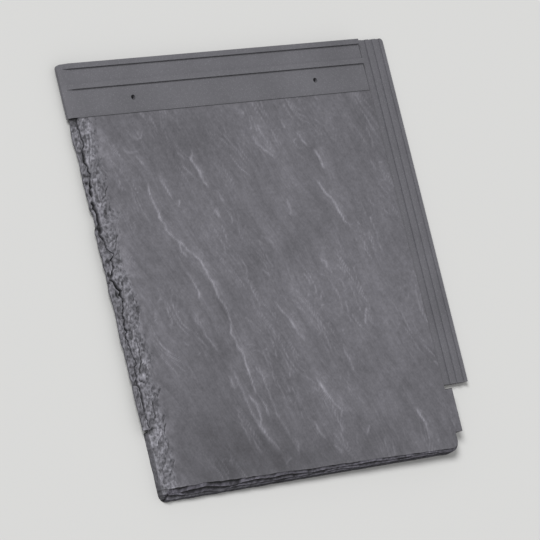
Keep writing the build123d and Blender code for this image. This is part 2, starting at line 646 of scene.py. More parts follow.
def columns(y):
    """X, edge depth and split mask of every column at the heights y."""
    edge = outer_edge(y)
    crevice = edge + crevice_inset(y)
    inner = edge + crushed_inset(y)
    last = face_right + right_steps[0]
    edge_depth = np.where(on_lip(y), lip_edge_depth, foot_edge_depth)
    ledge_depth = np.where(on_lip(y), lip_ledge_depth, foot_ledge_depth)
    wall_depth = np.where(on_lip(y), lip_wall_depth, butt_thickness)
    start_depth = np.where(on_lip(y), lip_crushed_start, foot_crushed_start)
    opened = crevice_open(y)
    room = crevice - edge - least_outer_ledge
    half_gap = np.where(on_lip(y), np.minimum(0.5 * crevice_width(y), room), least_gap)
    ledge_end = crevice - half_gap
    start = crevice + half_gap
    floor_depth = ledge_depth + crevice_depth * opened

    # The mask paints shade on the side wall's steps, in the open crevice and on its rim.
    lines = [(edge + side_layer(side_steps[0][1], y), 0 * y + skirt_depth, 0 * y)]
    for share, layer in side_steps:
        step_depth = edge_depth + share * (wall_depth - edge_depth)
        lines.append((edge + side_layer(layer, y), step_depth, side_split + 0 * y))
    lines.append((edge, edge_depth, 0 * y))
    for share in shares(outer_count):
        outer_depth = edge_depth + share * (ledge_depth - edge_depth)
        lines.append((edge + share * (ledge_end - edge), outer_depth, 0 * y))
    lines.append((crevice - crevice_floor * half_gap, floor_depth, opened))
    lines.append((crevice + crevice_floor * half_gap, floor_depth, opened))
    lines.append((start, start_depth, rim_split * opened))
    for share in shares(crushed_count):
        lines.append((start + share * (inner - start), start_depth * (1 - share) ** crushed_curve, 0 * y))
    for share in shares(face_count):
        lines.append((inner + share * (last - inner), -fray_slope * share * (last - inner), 0 * y))
    for step in right_steps[1:]:
        lines.append((0 * y + face_right + step, -fray_slope * (last - inner), 0 * y))
    x, depth, mask = (np.stack(part, axis=1) for part in zip(*lines))

    # Above the pattern the left columns move out, so that they clear the solid
    above = y >= pattern_high_y + head_limit
    outside = lip_left - clear_margin
    moved = np.where(x < inner[:, None], x - clear_shift, x)
    x = np.where(above[:, None], np.maximum(outside, moved), x)
    x[above, : len(side_steps) + 2] = outside
    return x, depth, mask


print("columns", columns(np.array([0.0]))[0].shape[1])

# %% [markdown]
# The rows start below the butt and climb its layers one by one: along a ledge, into the
# undercut at the foot of the next layer, up to that layer's edge. Above the top layer they
# run straight across the face. Two rows close together at the notch carry the jump from the
# foot to the lip. The last two rows lie above the solid, so that the head lap stays exact.

# %% Rows of the sheet
undercut = 0.25
ledge_tilt = 0.3
ledge_rows = (3, 3, 2, 0, 0, 0)
closed_split = 0.5
split_fade = 2.0
gape_spread = 1.2
wall_split = 0.45
top_edge_depth = 0.2
clear_of_all = -9.0
low_field_rows = 44
high_field_rows = 246
first_row = 0.35
notch_gap = 0.05
last_row = 0.2
head_row = 0.6
butt_row_count = 1 + layer_count + sum(ledge_rows) + len(ledge_rows)
row_count = butt_row_count + 1 + low_field_rows + high_field_rows + 2


def rows(x):
    """Y, butt depth and split mask of every row, at the places x."""
    ends = layer_ends(x)
    depths = layer_depths(x, ends)
    inset = np.zeros(x.shape)
    depth = np.full(x.shape, clear_of_all)
    mask = np.zeros(x.shape)
    inset[0] = ends[-1][0] + undercut
    depth[0] = skirt_depth
    row = 1
    for layer in range(layer_count - 1, 0, -1):
        end = ends[layer]
        back = ends[layer - 1] + undercut
        ledge = depths[layer - 1]
        gape = gap_open(x, layer - 1)
        for share in np.linspace(0, 1, ledge_rows[layer - 1] + 2):
            inset[row] = end[row] + share * (back[row] - end[row])
            depth[row] = ledge[row] - ledge_tilt * bevel_slope * (inset[row] - end[row])
            # The mask paints shade into the gap under each layer, darkest where the layers gape.
            dark = closed_split + (1 - closed_split) * gape[row]
            mask[row] = dark * share ** (split_fade - gape_spread * gape[row])
            row += 1
        mask[row - 1] = 1.0 if ledge_rows[layer - 1] else wall_split
    inset[row] = ends[0][row]
    depth[row] = top_edge_depth
    y = butt_line(x) + inset
    row += 1
    line = butt_line(x) + ends[0]
    y[row] = line[row] + first_row
    for share in shares(low_field_rows):
        row += 1
        y[row] = line[row] + first_row + share * (lip_start_y - notch_gap - line[row] - first_row)
    for height in np.linspace(lip_start_y + notch_gap, pattern_high_y + last_row, high_field_rows):
        row += 1
        y[row] = height
    y[row + 1] = pattern_high_y + head_row
    y[row + 2] = head_y + clear_margin
    return y, depth, mask


rough_y = rows(np.zeros((row_count, 1)))[0][:, 0]
sheet_x, edge_depth, edge_mask = columns(rough_y)
sheet_y, butt_depth, butt_mask = rows(sheet_x)
print("sheet", sheet_x.shape[1], "columns by", sheet_x.shape[0], "rows")

# %% [markdown]
# On the face, the stone split along its cleavage, but not quite in one plane. So the face
# has slow swells, faint steps from one layer to the next, and fine lines along the grain,
# which runs down to the right and bends a little. The pattern of steps comes from smooth
# noise cut into levels, like the contour lines of a map: that is what a split face is, a
# hill of thin layers. The same contours also give a mask of painted highlight: a pale line
# on the edges of the layers that face the key light.

# %% Grain and layers of the face
grain_angle = math.radians(-66)
grain_x = math.cos(grain_angle)
grain_y = math.sin(grain_angle)
grain_bend = 8.0
grain_bend_length = 48.0
hill_size = (78.0, 20.0)
hill_levels = 3.0
hill_tilt = 0.06
probe_step = 0.5
least_steepness = 0.02
level_step = 0.11
level_riser = 0.9
facing_gain = 0.9
pale_edge_offset = 0.3
pale_edge_width = 0.6


def with_grain(x, y):
    """Distances along and across the grain, which bends a little."""
    bent_x = x + grain_bend * ripple(x / grain_bend_length, y / grain_bend_length, 50)
    return bent_x * grain_x + y * grain_y, bent_x * -grain_y + y * grain_x


def hill(x, y):
    """Smooth hill whose levels are the layers, rising slowly to the right."""
    along, across = with_grain(x, y)
    return hill_levels * rough(along, across, hill_size, 52, 3) + hill_tilt * across


def layer_steps(x, y):
    """Depth of the steps from layer to layer, and a mask of painted highlight on the edges that face the
    light.
    """
    height = hill(x, y)
    slope_x = (hill(x + probe_step, y) - height) / probe_step
    slope_y = (hill(x, y + probe_step) - height) / probe_step
    steepness = np.maximum(np.hypot(slope_x, slope_y), least_steepness)
    from_riser = (height - np.floor(height) - 0.5) / steepness
    level = np.floor(height) + fade(from_riser / level_riser + 0.5)
    edge = np.exp(-(((from_riser - pale_edge_offset) / pale_edge_width) ** 2))
    # Only the edges that face the key light get the painted highlight.
    facing = np.clip(0.5 + facing_gain * slope_x / steepness, 0, 1)
    return level_step * (height - level), edge * facing


print("layers", level_step, "mm thick")

# %% [markdown]
# The whole depth of the face adds up from large to small: the swells, the steps, the lines
# and the dimples. In some patches the steps are stronger than in others. Along the right
# edge, the face of the photograph rises and falls in a few soft bands, so it does here.

# %% Cleavage of the face
face_depth = 0.5
swell_depth = 0.10
swell_size = (110, 90)
stepped_size = (55, 75)
least_step_share = 0.4
dash_size = (26, 5)
dash_share = 0.55
dash_sharpness = 1.2
line_depth = 0.045
line_size = (26.0, 2.3)
dimple_depth = 0.06
dimple_size = (17.0, 7.5)
side_swell = 0.09
side_swell_length = 13.0
side_swell_reach = 34.0


def cleavage(x, y):
    """Depth of the split face below the exact face, and a mask of painted highlight on layer edges."""
    along, across = with_grain(x, y)
    steps, edges = layer_steps(x, y)
    stepped = patches(x, y, stepped_size, 57)
    dashes = patches(along, across, dash_size, 48, dash_share, dash_sharpness)
    swell = swell_depth * rough(x, y, swell_size, 51, 2)
    lines = line_depth * rough(along, across, line_size, 59, 2)
    lines = lines + dimple_depth * rough(along, across, dimple_size, 55, 3)
    from_side = face_right - x
    side = side_swell * np.cos(2 * math.pi * from_side / side_swell_length)
    side = side * fade(1 - from_side / side_swell_reach)
    depth = face_depth + swell + steps * (least_step_share + stepped) + lines + side
    return depth, edges * stepped * dashes


print("face about", face_depth, "mm below the exact face")

# %% [markdown]
# A few edges of broken layers stand out: thin lines, painted pale as highlight, that wander
# down the face. Their places were read from the photograph and are given as a maker would
# note them, in millimetres from the left joint line and from the butt. Each is a scarp: the
# stone is a little higher on its right, and falls back to the face further on. The first
# number is how much higher it is.

# %% Places of the scarps
scarps = (
    (
        0.26,
        (
            (53, 241), (52, 231), (54, 221), (56, 213), (60, 202), (65, 194), (73, 188),
            (80, 179), (84, 174), (88, 165), (92, 150), (97, 137), (99, 126), (97, 117),
            (100, 108), (103, 98), (103, 91), (105, 82), (106, 72), (105, 65),
        ),
    ),
    (0.20, ((46, 261), (50, 257), (54, 251))),
    (0.16, ((36, 268), (42, 263), (51, 263), (57, 267))),
    (0.18, ((47, 279), (53, 273), (58, 274), (60, 280))),
    (0.20, ((66, 194), (69, 185), (73, 176))),
    (0.24, ((65, 172), (73, 161), (76, 153), (75, 144))),
    (0.22, ((65, 138), (70, 129), (72, 121))),
    (0.20, ((63, 246), (67, 238), (70, 229), (74, 222))),
    (0.24, ((78, 217), (80, 224))),
    (0.30, ((103, 263), (99, 254), (102, 247), (106, 235), (110, 227))),
    (0.18, ((115, 228), (121, 217))),
    (0.18, ((109, 214), (114, 205))),
    (0.34, ((98, 71), (103, 63), (106, 54), (103, 44), (107, 37), (112, 29), (117, 21))),
    (0.30, ((107, 72), (111, 63), (112, 55), (116, 45))),
    (0.20, ((88, 103), (92, 77), (97, 60), (104, 39), (117, 18))),
    (0.20, ((114, 99), (117, 77), (121, 52), (132, 26), (135, 13))),
    (0.18, ((61, 141), (72, 120), (83, 99))),
    (0.16, ((121, 104), (126, 86))),
    (0.16, ((85, 87), (87, 72))),
    (0.14, ((85, 64), (87, 43))),
    (0.26, ((129, 36), (134, 27), (133, 17))),
    (0.18, ((118, 13), (127, 16))),
    (0.20, ((139, 165), (149, 154))),
    (0.20, ((144, 141), (149, 130), (155, 121), (161, 110), (168, 100))),
    (0.24, ((166, 77), (171, 66), (177, 56), (183, 47), (182, 38))),
    (0.20, ((153, 44), (159, 31), (164, 25))),
    (0.24, ((167, 21), (172, 18), (176, 12))),
    (0.24, ((161, 267), (166, 260), (171, 255), (176, 251), (182, 246))),
    (0.18, ((181, 217), (182, 206), (181, 200))),
    (0.26, ((207, 267), (211, 259), (215, 253))),
    (0.30, ((220, 253), (224, 243), (227, 233))),
    (0.30, ((212, 230), (220, 217), (224, 212), (228, 207), (230, 199), (233, 194), (239, 183))),
    (0.16, ((198, 166), (205, 162), (203, 154))),
    (0.20, ((233, 122), (230, 114), (228, 109))),
    (0.18, ((199, 96), (202, 90), (205, 80), (207, 72))),
    (0.18, ((203, 23), (210, 32))),
    (0.34, ((258, 40), (260, 33), (263, 27), (264, 19), (262, 10))),
)
print("scarps", len(scarps))

# %% [markdown]
# The shape of a scarp comes from the distance to its line, which the first helper below
# measures: up in a short riser, down in a long fall, and fading at both ends. The line
# wobbles a little, so that its straight pieces don't show. Its crest gets a painted
# highlight: a thin pale line with a faint halo.

# %% Relief of the scarps
scarp_riser = 1.8
scarp_fall = 11.0
scarp_wobble = 1.1
scarp_wobble_size = (9, 9)
scarp_end = 0.3
scarp_end_part = 0.9
mean_strength = 0.85
strength_change = 0.4
strength_size = (12, 12)
crest_offset = 0.5
crest_width = 0.85
halo_share = 0.30
halo_reach = 6.0
full_rise = 0.3


def beside(x, y, points):
    """Distance from a line of points, positive to its right, and the share of the way along."""
    nearest = np.full(x.shape, np.inf)
    signed = np.zeros(x.shape)
    way = np.zeros(x.shape)
    for k in range(len(points) - 1):
        start_x, start_y = points[k]
        run_x = points[k + 1][0] - start_x
        run_y = points[k + 1][1] - start_y
        share = ((x - start_x) * run_x + (y - start_y) * run_y) / (run_x**2 + run_y**2)
        share = np.clip(share, 0, 1)
        away_x = x - start_x - share * run_x
        away_y = y - start_y - share * run_y
        apart = np.hypot(away_x, away_y)
        closer = apart < nearest
        nearest = np.where(closer, apart, nearest)
        signed = np.where(closer, apart * np.sign(run_x * away_y - run_y * away_x), signed)
        way = np.where(closer, (k + share) / (len(points) - 1), way)
    return signed, way


def broken_edges(x, y):
    """Height of the scarps, and a mask of the painted highlight on their crests."""
    height = np.zeros(x.shape)
    crest = np.zeros(x.shape)
    seen_x = x - left_joint + scarp_wobble * rough(x, y, scarp_wobble_size, 61, 2)
    seen_y = y - butt_y + scarp_wobble * rough(x, y, scarp_wobble_size, 63, 2)
    strength = mean_strength + strength_change * rough(x, y, strength_size, 65, 2)
    for rise, points in scarps:
        apart, way = beside(seen_x, seen_y, points)
        end = min(scarp_end, scarp_end_part / (len(points) - 1))
        ends = fade(way / end) * fade((1 - way) / end)
        scarp = fade(apart / scarp_riser + 0.5) * np.exp(-np.maximum(apart, 0) / scarp_fall)
        height = np.maximum(height, rise * strength * scarp * ends)
        thin = np.exp(-(((apart - crest_offset) / crest_width) ** 2))
        halo = halo_share * np.exp(-np.maximum(apart, 0) / halo_reach) * fade(apart + 0.5)
        crest = np.maximum(crest, np.maximum(thin, halo) * ends * strength * rise / full_rise)
    return height, crest


print("highest scarp", max(rise for rise, points in scarps), "mm")

# %% [markdown]
# The crushed stone is a surface of its own, made of slanted chips in three sizes. It is
# rough beside the crevice and calms down towards the face. Where two chips meet there is a
# fine break, open in some places and closed in others. Each chip also gets its own tone,
# which follows its level and slant: partly the colour of a separate piece of stone, partly
# painted light, as glints on a chip tilted its own way.

# %% Chips of the crushed stone
chip_sizes = ((0.42, 15.0, 7.5, 71), (0.44, 7.0, 4.0, 73), (0.26, 2.0, 2.4, 75))
chip_angle = math.radians(62)
least_turned_width = 2.5
chip_bend = 1.2
chip_bend_length = 6
chip_tone = 0.6
full_chip = 0.6
break_reach = 0.51
calm_reach = 9.0
calm_by_face = 0.8
calm_face_start = 0.6
calm_in_band = 0.3
calm_band_start = 3.0


def crushed_relief(x, y):
    """Depth of the chips, about zero on average, a mask of their breaks, and a tone for each chip, partly
    painted light on its slant.
    """
    bent_x = x + chip_bend * ripple(x / chip_bend_length, y / chip_bend_length, 77)
    along = bent_x * math.cos(chip_angle) + y * math.sin(chip_angle)
    across = bent_x * -math.sin(chip_angle) + y * math.cos(chip_angle)
    deep = np.zeros(x.shape)
    broken = np.zeros(x.shape)
    tone = np.zeros(x.shape)
    for amount, length, width, seed in chip_sizes:
        if width < least_turned_width:
            along, across = bent_x, y
        flat, apart = chips(along / length, across / width, seed)
        deep = deep + amount * flat
        # Each chip's tone follows its level and slant: partly its own colour, partly painted light.
        tone = tone - chip_tone * flat
        open_here = patches(x, y, (2 * width, length), seed + 1, octaves=1)
        gap = np.clip(1 - apart * width / break_reach, 0, 1)
        broken = np.maximum(broken, gap * open_here * (amount / full_chip))
    return deep, broken, tone


edge_distance = sheet_x - outer_edge(sheet_y)
from_crevice = edge_distance - crevice_inset(sheet_y)
from_band = edge_distance - crushed_inset(sheet_y)
relief, break_mask, fleck = crushed_relief(sheet_x, sheet_y)
calm = 1 - calm_by_face * fade(calm_face_start + from_band / calm_reach)
calm = calm * (1 - calm_in_band * fade((from_crevice - calm_band_start) / calm_reach))
relief = relief * calm
break_mask = break_mask * calm
print("chips from", round(float(relief.min()), 2), "to", round(float(relief.max()), 2), "mm deep")

# %% [markdown]
# The crushed stone slopes up towards the face, and the visible surface is the lower of the
# two. Where they meet, the chips end in the frayed line that shows beside the left edge,
# with nothing drawn by hand. Seven cracks run across the crushed stone where the photograph
# shows them, cut in and painted dark as painted shade. Each is a depth and a line of points,
# placed like the scarps.

# %% Face, crushed stone and cracks
crushed_lift = 0.22
break_depth = 0.35
solid_margin = 0.08
cracks = (
    (0.7, ((8, 125), (9, 114), (7.5, 101), (5, 94))),
    (0.5, ((1.5, 92), (9, 89))),
    (0.7, ((10, 75), (9, 56))),
    (0.7, ((16, 58), (13, 47))),
    (0.6, ((16, 241), (11, 233), (6, 229))),
    (0.4, ((15, 203), (11, 197), (7, 188))),
    (0.5, ((9, 168), (7, 158), (8, 149))),
)
crack_half_width = 0.75
crack_wobble = 1.3
crack_wobble_size = (5, 5)
crack_stagger = 0.5
crack_start = 0.1
crack_end = 0.3
crack_darkness = 0.8

scarp_height, scarp_highlight = broken_edges(sheet_x, sheet_y)
face_relief, layer_edges = cleavage(sheet_x, sheet_y)
face_relief = np.maximum(face_relief - scarp_height, solid_margin)
crushed_depth = edge_depth + face_depth + relief - crushed_lift + break_depth * break_mask
crack_mask = np.zeros(sheet_x.shape)
crack_x = sheet_x - left_joint + crack_wobble * rough(sheet_x, sheet_y, crack_wobble_size, 86, 2)
for deep, points in cracks:
    apart, way = beside(crack_x, sheet_y - butt_y, points)
    cut = np.clip(1 - abs(apart + crack_stagger * relief) / crack_half_width, 0, 1)
    cut = cut * fade(way / crack_start) * fade((1 - way) / crack_end)
    crushed_depth = crushed_depth + deep * cut
    # The crack mask is painted shade inside the cracks.
    crack_mask = np.maximum(crack_mask, crack_darkness * cut)
print("cracks", len(cracks), "over", int((crack_mask > 0.5).sum()), "points")

# %% [markdown]
# Two things are broken deeper. Just above the notch, the lip slopes down to the foot, as
# if the corner had been knocked off. And where the crevice is open, pits run along it.

# %% Notch and pits
notch_reach = 15.0
notch_share = 1.1
notch_ragged = 0.4
notch_ragged_length = 5
deepest_dip = 2.6
dip_roughness = 0.6
dip_clearance = 0.4
pit_depth = 1.1
pit_share = 1.25
pit_offset = 1.2
pit_reach = 4.0
pit_length = 6.5
pit_width = 3.1
pit_sharpness = 3.0
pit_rarity = 0.35

foot_slope = foot_bevel_depth * (1 - (sheet_x - foot_left) / foot_bevel_width)
above_notch = (sheet_y - notch_y) / notch_reach
ragged = notch_ragged * ripple(sheet_x / notch_ragged_length, sheet_y / notch_ragged_length, 88)
to_notch = fade(notch_share - above_notch + ragged) * on_lip(sheet_y)
notch_dip = np.clip(foot_slope, 0, deepest_dip) * to_notch
dip_share = np.minimum(notch_dip, 1)
dip_relief = dip_roughness * relief * dip_share - dip_clearance * (1 - dip_share)
crushed_depth = np.maximum(crushed_depth, face_depth + notch_dip + dip_relief)
pits = fade(pit_share - abs(from_crevice + pit_offset) / pit_reach) * on_lip(sheet_y)
pit_places = pit_sharpness * ripple(sheet_x / pit_width, sheet_y / pit_length, 78) - pit_rarity
pits = pits * fade(pit_places) * crevice_open(sheet_y)
crushed_depth = crushed_depth + pit_depth * pits
print("lip dips", round(float(notch_dip.max()), 2), "mm, pits on", int((pits > 0.5).sum()), "points")

# %% [markdown]
# Now the surfaces meet. The deepest of face, crushed stone and butt is the one that shows.
# Three things follow: the lip stays thick enough over the lock, the sheet stays under the
# exact solid's bevels, and the right edge is a little worn. Last, the border of the sheet
# goes down outside the solid, and its last two rows go up above it.

# %% Depth of the sheet
meeting_width = 0.25
corner_reach = 18.0
butt_roughness = 0.25
corner_roughness = 2.2
deepest_on_lip = 4.45
lock_width = 27
worn_drop = 0.35
worn_drop_reach = 0.5
tab_margin = 0.5
wall_columns = len(side_steps) + 1
above_solid = -1.0


def solid_depth(x, y):
    """Depth of the exact solid's bevels below its face."""
    lip = lip_bevel_depth * (1 - (x - lip_left) / lip_bevel_width)
    foot = foot_bevel_depth * (1 - (x - foot_left) / foot_bevel_width)
    butt = (bevel_width(x) - (y - butt_y)) * bevel_slope
    return np.maximum(np.maximum(np.where(y > notch_y, lip, foot), butt), 0)


def worn_right(x, edge):
    """Drop of the face beside its right edge."""
    return worn_drop * np.exp(-np.maximum(edge - x, 0) / worn_drop_reach)


depth = np.maximum(face_relief, crushed_depth)
crushed_mask = fade((crushed_depth - face_relief) / meeting_width + 0.5)
near_corner = fade(1 - edge_distance / corner_reach) * (butt_depth > 0)
butt_relief = butt_depth + (butt_roughness + corner_roughness * near_corner) * relief
on_butt = butt_relief > depth
depth = np.maximum(depth, butt_relief)
over_lock = on_lip(sheet_y) & (edge_distance < lock_width)
depth = np.where(over_lock, np.minimum(depth, deepest_on_lip), depth)
depth = np.maximum(depth, solid_depth(sheet_x, sheet_y) + solid_margin)
beside_tab = (sheet_y > tab_low_y - tab_margin) & (sheet_y < tab_high_y + tab_margin)
depth = depth + np.where(beside_tab, worn_right(sheet_x, tab_right), worn_right(sheet_x, face_right))
depth[:, :wall_columns] = np.maximum(edge_depth, butt_depth)[:, :wall_columns]
depth[-2:, wall_columns:] = above_solid
depth[0] = skirt_depth
depth[:, 0] = skirt_depth
print("depth of the riven face", round(float(np.median(depth)), 2), "mm")

# %% [markdown]
# The lower left corner of the tile is round. The sheet was laid out with a square corner,
# so its points there are drawn in: points that lay on a square round the corner's centre
# go to a circle of the same reach, and the layers then follow the curve.

# %% Round the corner
tiny = 1e-6

to_left = corner_radius - edge_distance
to_butt = corner_radius - (sheet_y - butt_line(sheet_x))
in_corner = (to_left > 0) & (to_butt > 0)
square = np.maximum(to_left, to_butt)
draw_in = np.where(in_corner, square / np.maximum(np.hypot(to_left, to_butt), tiny), 1.0)
flat_x = sheet_x
flat_y = sheet_y
sheet_x = flat_x + np.where(in_corner, to_left * (1 - draw_in), 0)
sheet_y = flat_y + np.where(in_corner, to_butt * (1 - draw_in), 0)
sheet_z = face_height(sheet_y) - depth
print("points in the corner", int(in_corner.sum()))

# %% [markdown]
# Proud points are painted paler and dips darker: partly wear and dirt, partly painted
# highlight on the crests and painted shade in the dips. A point is proud if it is higher
# than the mean of its neighbours, so each height is compared with a blurred copy of the
# heights, once over a short reach for chips and once over a longer one. Beside the face the
# dips are shallow, so they are darkened less there.

# %% Crests and dips
deepest_counted = 6
short_reach = 2
short_scale = 0.16
long_reach = 7
long_scale = 0.4
long_part = 0.5
crest_sharpness = 0.6
steep_depth = 5.5
wall_crest = -0.1
shallow_reach = 12.0
shallow_share = 0.6


def blurred(values, reach):
    """Mean over a square of neighbours."""
    padded = np.pad(values, reach, mode="edge")
    rows_mean = sum(np.roll(padded, shift, axis=0) for shift in range(-reach, reach + 1))
    both = sum(np.roll(rows_mean, shift, axis=1) for shift in range(-reach, reach + 1))
    return both[reach:-reach, reach:-reach] / (2 * reach + 1) ** 2


capped = np.clip(depth, 0, deepest_counted)
short_crest = (blurred(capped, short_reach) - capped) / short_scale
long_crest = long_part * (blurred(capped, long_reach) - capped) / long_scale
crest_mask = np.tanh(crest_sharpness * (short_crest + long_crest))
# Steep walls get a little painted shade.
crest_mask = np.where(capped > steep_depth, np.maximum(crest_mask, wall_crest), crest_mask)
near_face = crushed_mask * fade(1 + from_band / shallow_reach) * (butt_depth <= 0)
crest_mask = np.where(crest_mask < 0, crest_mask * (1 - shallow_share * near_face), crest_mask)
crest_mask[:, :wall_columns] = 0.0
print("crests on", int((crest_mask > 0.5).sum()), "points, dips on", int((crest_mask < -0.5).sum()))

# %% [markdown]
# The masks of the left edge come next. The face beside the frayed line is bruised pale.
# Beside the crevice the facets of the chips are pale, its rim gets painted shade, and in
# places a broad painted shade spreads from it. The deepest lines are painted nearly black
# as shade: the gaps between layers, the cracks, the pits and, more faintly, the breaks
# between chips.

# %% Pale and dark masks
facet_middle = 4.0
facet_reach = 4.0
facet_size = (4, 6)
facet_share = 0.4
facet_sharpness = 1.3
rim_shade = 0.3
rim_reach = 1.5
stain_strength = 0.25
stain_size = (30, 24)
bruise_reach = 12.0
bruise_size = (7, 9)
scarp_paleness = 1.6
layer_paleness = 0.75
bruise_paleness = 0.45
crevice_shade_reach = 4.5
crevice_shade_size = (5, 9)
crevice_shade_share = 0.6
crevice_shade_sharpness = 1.0
crevice_shade_darkness = 0.34
pit_darkness = 0.9
break_darkness = 0.28
wall_share = 0.4

facets = np.exp(-(((from_crevice - facet_middle) / facet_reach) ** 2))
facets = facets * patches(flat_x, flat_y, facet_size, 80, facet_share, facet_sharpness)
# The rim of the crevice gets painted shade.
fleck = fleck + facets - rim_shade * fade(0.5 - from_crevice / rim_reach)
fleck = fleck + stain_strength * rough(flat_x, flat_y, stain_size, 82, 2)
bruises = fade(1 - from_band / bruise_reach) * patches(flat_x, flat_y, bruise_size, 79)
# Painted highlight on scarp crests and on layer edges that face the light, with bruises.
pale_edges = np.maximum(scarp_paleness * scarp_highlight, layer_paleness * layer_edges)
pale_edges = np.maximum(pale_edges, bruise_paleness * bruises) * (1 - crushed_mask)
# Broad painted shade beside the open crevice, in patches.
crevice_shade = np.exp(-((from_crevice / crevice_shade_reach) ** 2))
crevice_shade = crevice_shade * patches(sheet_x, sheet_y, crevice_shade_size, 84, crevice_shade_share, crevice_shade_sharpness, 1) * on_lip(sheet_y)
# Painted shade in the breaks between chips, in the pits and beside the crevice.
breaks = break_darkness * (break_mask * crushed_mask) * (1 - on_butt)
pit_and_crevice_shade = np.maximum(pit_darkness * pits, crevice_shade_darkness * crevice_shade) * (1 - on_butt)
# All painted shade in recesses goes into one mask.
painted_shade_mask = np.maximum.reduce([edge_mask, butt_mask, crack_mask * crushed_mask, breaks, pit_and_crevice_shade])
# The butt mask darkens the butt, partly as painted shade, and less on its steep wall.
butt_share = on_butt * np.where(capped > steep_depth, wall_share, 1.0)
print("dark on", int((painted_shade_mask > 0.5).sum()), "points, pale on", int((pale_edges > 0.5).sum()))

# %% [markdown]
# Broad clouds make the face paler and darker: partly the stone's own tone, partly painted
# shade where the sheen falls off, darkest towards the lower left. They are placed in
# millimetres like the scarps: the middle, the reach across and up, and the change of tone.
# All masks are kept on the mesh under a name, for the materials to read.

# %% Clouds
clouds = (
    (75, 30, 55, 40, -0.24),
    (150, 8, 170, 30, -0.18),
    (85, 268, 60, 24, -0.14),
    (285, 270, 25, 30, -0.12),
    (285, 40, 30, 60, -0.08),
    (250, 195, 32, 40, 0.07),
    (80, 175, 30, 50, 0.05),
    (175, 262, 25, 20, 0.07),
    (52, 277, 9, 6, 0.10),
    (190, 2, 70, 9, -0.07),
    (8, 25, 14, 40, -0.04),
)

cloud = np.ones(sheet_x.shape)
for middle_x, middle_y, reach_x, reach_y, change in clouds:
    away_x = (sheet_x - left_joint - middle_x) / reach_x
    away_y = (sheet_y - butt_y - middle_y) / reach_y
    cloud = cloud * (1 + change * np.exp(-(away_x**2) - away_y**2))
masks = {
    "cloud": cloud,
    "fleck": fleck,
    "crushed": np.maximum(crushed_mask, on_butt * 1.0),
    # The split mask is painted shade in the recesses.
    "split": painted_shade_mask,
    "crest": crest_mask,
    # The worn mask is painted highlight on crests and layer edges, with pale bruises.
    "worn": pale_edges,
    "butt": butt_share,
}
for name, values in masks.items():
    print(name, "from", round(float(values.min()), 2), "to", round(float(values.max()), 2))

# %% [markdown]
# The sheet becomes a closed block: side walls go straight down from its border to a flat
# bottom under the floor. Only the top of the block will show.

# %% The riven block
block_bottom = -9.0
sheet_rows, sheet_columns = sheet_x.shape
sheet_points = np.stack([sheet_x, sheet_y, sheet_z], axis=2).reshape(-1, 3)
numbers = np.arange(sheet_rows * sheet_columns).reshape(sheet_rows, sheet_columns)
corners = numbers[:-1, :-1], numbers[:-1, 1:], numbers[1:, 1:], numbers[1:, :-1]
squares = np.stack(corners, axis=2).reshape(-1, 4).tolist()
border = [*numbers[0, :-1], *numbers[:-1, -1], *numbers[-1, :0:-1], *numbers[:0:-1, 0]]
border = [int(number) for number in border]
border_points = sheet_points[border].copy()
border_points[:, 2] = block_bottom
first_low = len(sheet_points)
low = [first_low + k for k in range(len(border))]
walls = [(low[k - 1], low[k], border[k], border[k - 1]) for k in range(len(border))]
block_mesh = bpy.data.meshes.new("riven_block")
block_points = np.concatenate([sheet_points, border_points]) * MM
block_mesh.from_pydata(block_points.tolist(), [], squares + walls + [tuple(reversed(low))])
for name, values in masks.items():
    layer = block_mesh.attributes.new(name, "FLOAT", "POINT")
    layer.data.foreach_set("value", np.concatenate([values.reshape(-1), np.zeros(len(low))]))
print("block", len(block_mesh.vertices), "points,", len(block_mesh.polygons), "faces")

# %% [markdown]
# Both materials are the same stone dust and resin, so what they share is built once, as
# node groups: a cloudy tone with specks in it, and the fine grit that catches the light.
# Sizes go in as millimetres. The coordinates are the tile's own, in metres, so the pattern
# stays with the tile.

# %% Helpers for the finishes
per_metre = 1000.0


def new_group(name, inputs, outputs):
    """A shader node group with named number sockets."""
    group = bpy.data.node_groups.new(name, "ShaderNodeTree")
    for socket, value in inputs.items():
        made = group.interface.new_socket(socket, in_out="INPUT", socket_type="NodeSocketFloat")
        made.default_value = value
    for socket in outputs:
        group.interface.new_socket(socket, in_out="OUTPUT", socket_type="NodeSocketFloat")
    return group, group.nodes.new("NodeGroupInput").outputs, group.nodes.new("NodeGroupOutput").inputs


def use_group(tree, group, values):
    """Put a group into a material, with its own values."""
    node = add(tree, "Group", node_tree=group)
    for name, value in values.items():
        node.inputs[name].default_value = value
    return node.outputs


def own_place(tree):
    """The place of a point in the tile's own coordinates."""
    return add(tree, "TexCoord").outputs["Object"]


def attribute(tree, name):
    """One of the masks on the mesh."""
    return add(tree, "Attribute", attribute_name=name).outputs["Fac"]


def noise(tree, vector, scale, detail=3.0, roughness=0.5, output="Fac"):
    """Smooth noise from 0 to 1."""
    node = add(tree, "TexNoise")
    node.inputs["Detail"].default_value = detail
    node.inputs["Roughness"].default_value = roughness
    feed(tree, scale, node.inputs["Scale"])
    feed(tree, vector, node.inputs["Vector"])
    return node.outputs[output]


def cells(tree, size):
    """Cells of one size: each has a colour, and a distance from its middle."""
    node = add(tree, "TexVoronoi", feature="F1")
    node.inputs["Scale"].default_value = per_metre / size
    feed(tree, own_place(tree), node.inputs["Vector"])
    return node.outputs


def ramp(tree, value, slope, start):
    """A start plus a value times a slope."""
    return maths(tree, "ADD", maths(tree, "MULTIPLY", value, slope), start)


def around_one(tree, value, strength):
    """Spread a value from 0 to 1 about one, by a strength."""
    return ramp(tree, maths(tree, "SUBTRACT", value, 0.5), strength, 1.0)


